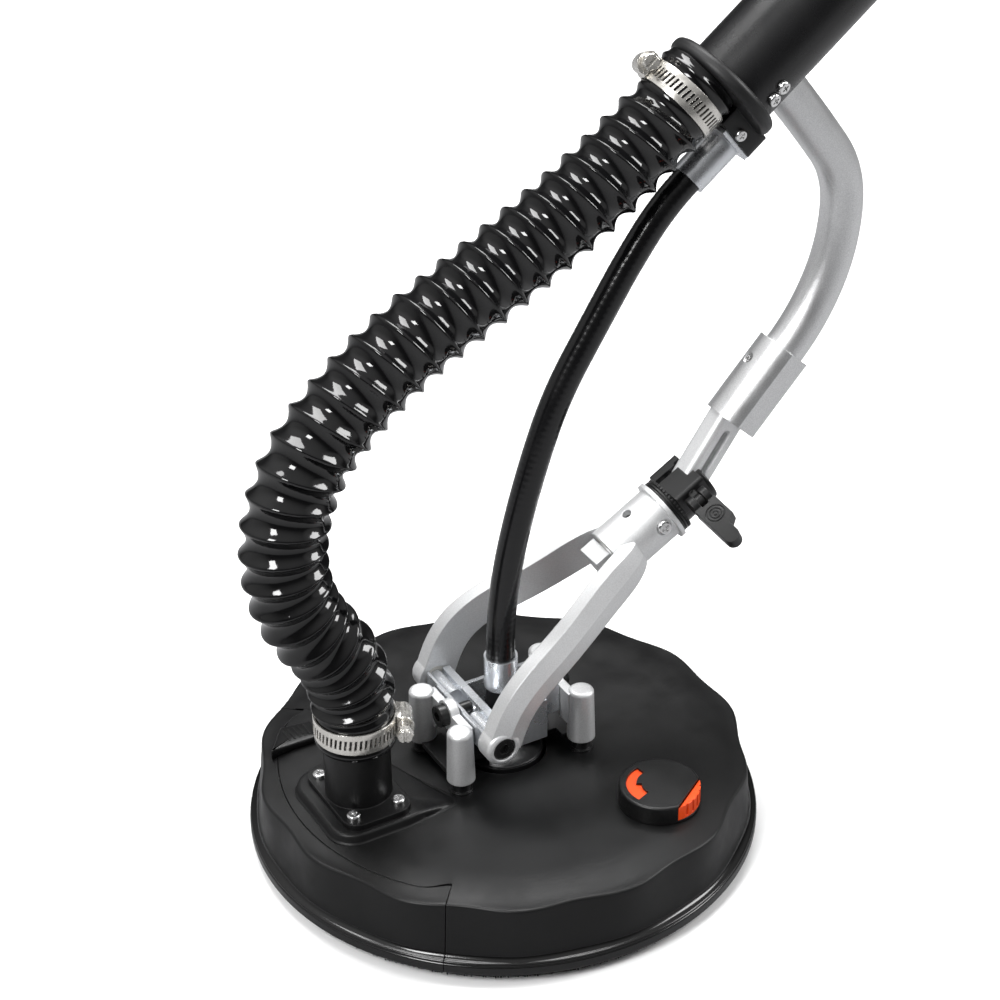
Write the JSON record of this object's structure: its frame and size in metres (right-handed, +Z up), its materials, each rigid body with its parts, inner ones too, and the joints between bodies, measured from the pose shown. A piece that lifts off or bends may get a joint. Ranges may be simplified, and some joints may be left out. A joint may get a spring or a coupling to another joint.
{
  "type": "pole drywall sander head",
  "caption": "Pole drywall sander head: shrouded disc on a gimbal and fork, flexible drive shaft, ribbed dust hose and lower pole.",
  "frame": {"origin": "on the floor, on the axis of the sanding disc, at the abrasive face", "axes": "+Z up along the disc axis, +X from the disc towards the pole, +Y to the left of the pole; the plane Y=0 holds the pole, bow and fork"},
  "size_m": [0.3948, 0.25, 0.4817],
  "materials": {
    "pole_black": "satin black powder coat",
    "shroud_black": "fine moulded texture",
    "moulded_black": "moulded nylon, fine grain",
    "rubber_black": "soft matte rubber",
    "cast_black": "black coated casting",
    "cast_aluminium": "shot-blasted casting",
    "blasted_aluminium": "bead-blasted",
    "zinc_steel": "bright zinc plate",
    "clamp_steel": "stainless band",
    "screw_chrome": "bright plated",
    "screw_black": "black oxide",
    "spring_steel": "ground steel",
    "hose_gloss": "glossy flexible PVC",
    "cable_black": "extruded casing",
    "bush_nylon": "natural nylon",
    "plate_grey": "moulded",
    "foam_grey": "open-cell foam",
    "abrasive": "paper-backed grit",
    "rim_gloss": "glossy bead",
    "bristle_black": "nylon bristle",
    "dial_orange": "moulded"
  },
  "bodies": {
    "pole": {"pole_tube": "pole_black", "end_cap": "rubber_black", "cap_screw": "screw_chrome", "pole_screws": "screw_chrome", "bow_saddle": "cast_aluminium", "bow_tube": "blasted_aluminium", "bow_sleeve": "blasted_aluminium", "sleeve_screw": "screw_chrome", "swivel_rod": "cast_aluminium", "index_ring": "moulded_black", "clamp_body": "moulded_black", "lock_bolt": "screw_black", "lever_pin": "screw_black", "upper_ferrule": "zinc_steel", "upper_clamp": "clamp_steel", "hose": "hose_gloss", "flex_casing": "cable_black", "flex_core": "spring_steel", "guide_tube": "zinc_steel", "guide_plug": "moulded_black"},
    "lock_lever": {"lock_lever": "moulded_black"},
    "drive_end": {"drive_end": "spring_steel"},
    "fork": {"fork": "cast_aluminium", "foot_bushes": "bush_nylon", "collar_bushes": "bush_nylon", "collar_screw": "screw_chrome"},
    "gimbal": {"gimbal_frame": "zinc_steel", "pitch_pins": "zinc_steel", "foot_screws": "screw_black"},
    "carrier": {"leg_brackets": "cast_aluminium", "roll_pivots": "screw_black", "spindle_plate": "cast_black", "spindle_nose": "cast_black", "spindle_housing": "cast_black", "bearings": "spring_steel", "lower_ferrule": "zinc_steel"},
    "spindle": {"spindle": "spring_steel", "backing_plate": "plate_grey", "foam_pad": "foam_grey", "sanding_disc": "abrasive", "pad_nut": "zinc_steel"},
    "shroud": {"shroud": "shroud_black", "shroud_posts": "moulded_black", "leg_springs": "spring_steel", "post_screws": "zinc_steel", "rim_band": "rim_gloss", "brush_strip": "bristle_black", "hose_port": "shroud_black", "port_screws": "screw_chrome", "lower_clamp": "clamp_steel"},
    "front_skirt": {"front_skirt": "shroud_black", "front_rim": "rim_gloss", "front_brush": "bristle_black"},
    "suction_dial": {"dial_cap": "moulded_black", "suction_dial": "dial_orange", "dial_screw": "zinc_steel"}
  },
  "joints": [
    {"name": "head_swivel", "type": "hinge", "parent": "pole", "child": "fork", "pos_m": [0.0908, 0, 0.1505], "axis": [0.866, 0, 0.5], "range_deg": [-25, 25], "deforming": ["hose", "flex_casing", "flex_core"]},
    {"name": "head_pitch", "type": "hinge", "parent": "fork", "child": "gimbal", "pos_m": [-0.02, 0, 0.0734], "axis": [0, 1, 0], "range_deg": [-15, 45], "stiffness_Nm_per_rad": 6, "springref_deg": 11.75},
    {"name": "head_roll", "type": "hinge", "parent": "gimbal", "child": "carrier", "pos_m": [0, 0, 0.0734], "axis": [1, 0, 0], "range_deg": [-12, 12]},
    {"name": "shroud_float", "type": "slide", "parent": "carrier", "child": "shroud", "axis": [0, 0, 1], "range_m": [-0.002, 0.005], "stiffness_N_per_m": 2400, "deforming": ["leg_springs"]},
    {"name": "pad_spin", "type": "hinge", "parent": "carrier", "child": "spindle", "pos_m": [0, 0, 0], "axis": [0, 0, 1], "continuous": true},
    {"name": "drive_spin", "type": "hinge", "parent": "pole", "child": "drive_end", "pos_m": [0.20903, 0, 0.42305], "axis": [0.7944, 0, 0.6074], "continuous": true},
    {"name": "lever_swing", "type": "hinge", "parent": "pole", "child": "lock_lever", "pos_m": [0.09799, -0.021, 0.16365], "axis": [0.866, 0, 0.5], "range_deg": [0, 80]},
    {"name": "skirt_pull", "type": "slide", "parent": "shroud", "child": "front_skirt", "axis": [-1, 0, 0], "range_m": [0, 0.03]},
    {"name": "dial_turn", "type": "hinge", "parent": "shroud", "child": "suction_dial", "pos_m": [0.044, -0.074, 0.042], "axis": [0, 0, 1], "range_deg": [0, 60]}
  ],
  "couplings": [
    {"joint": "drive_spin", "follows": "pad_spin", "ratio": 1}
  ]
}
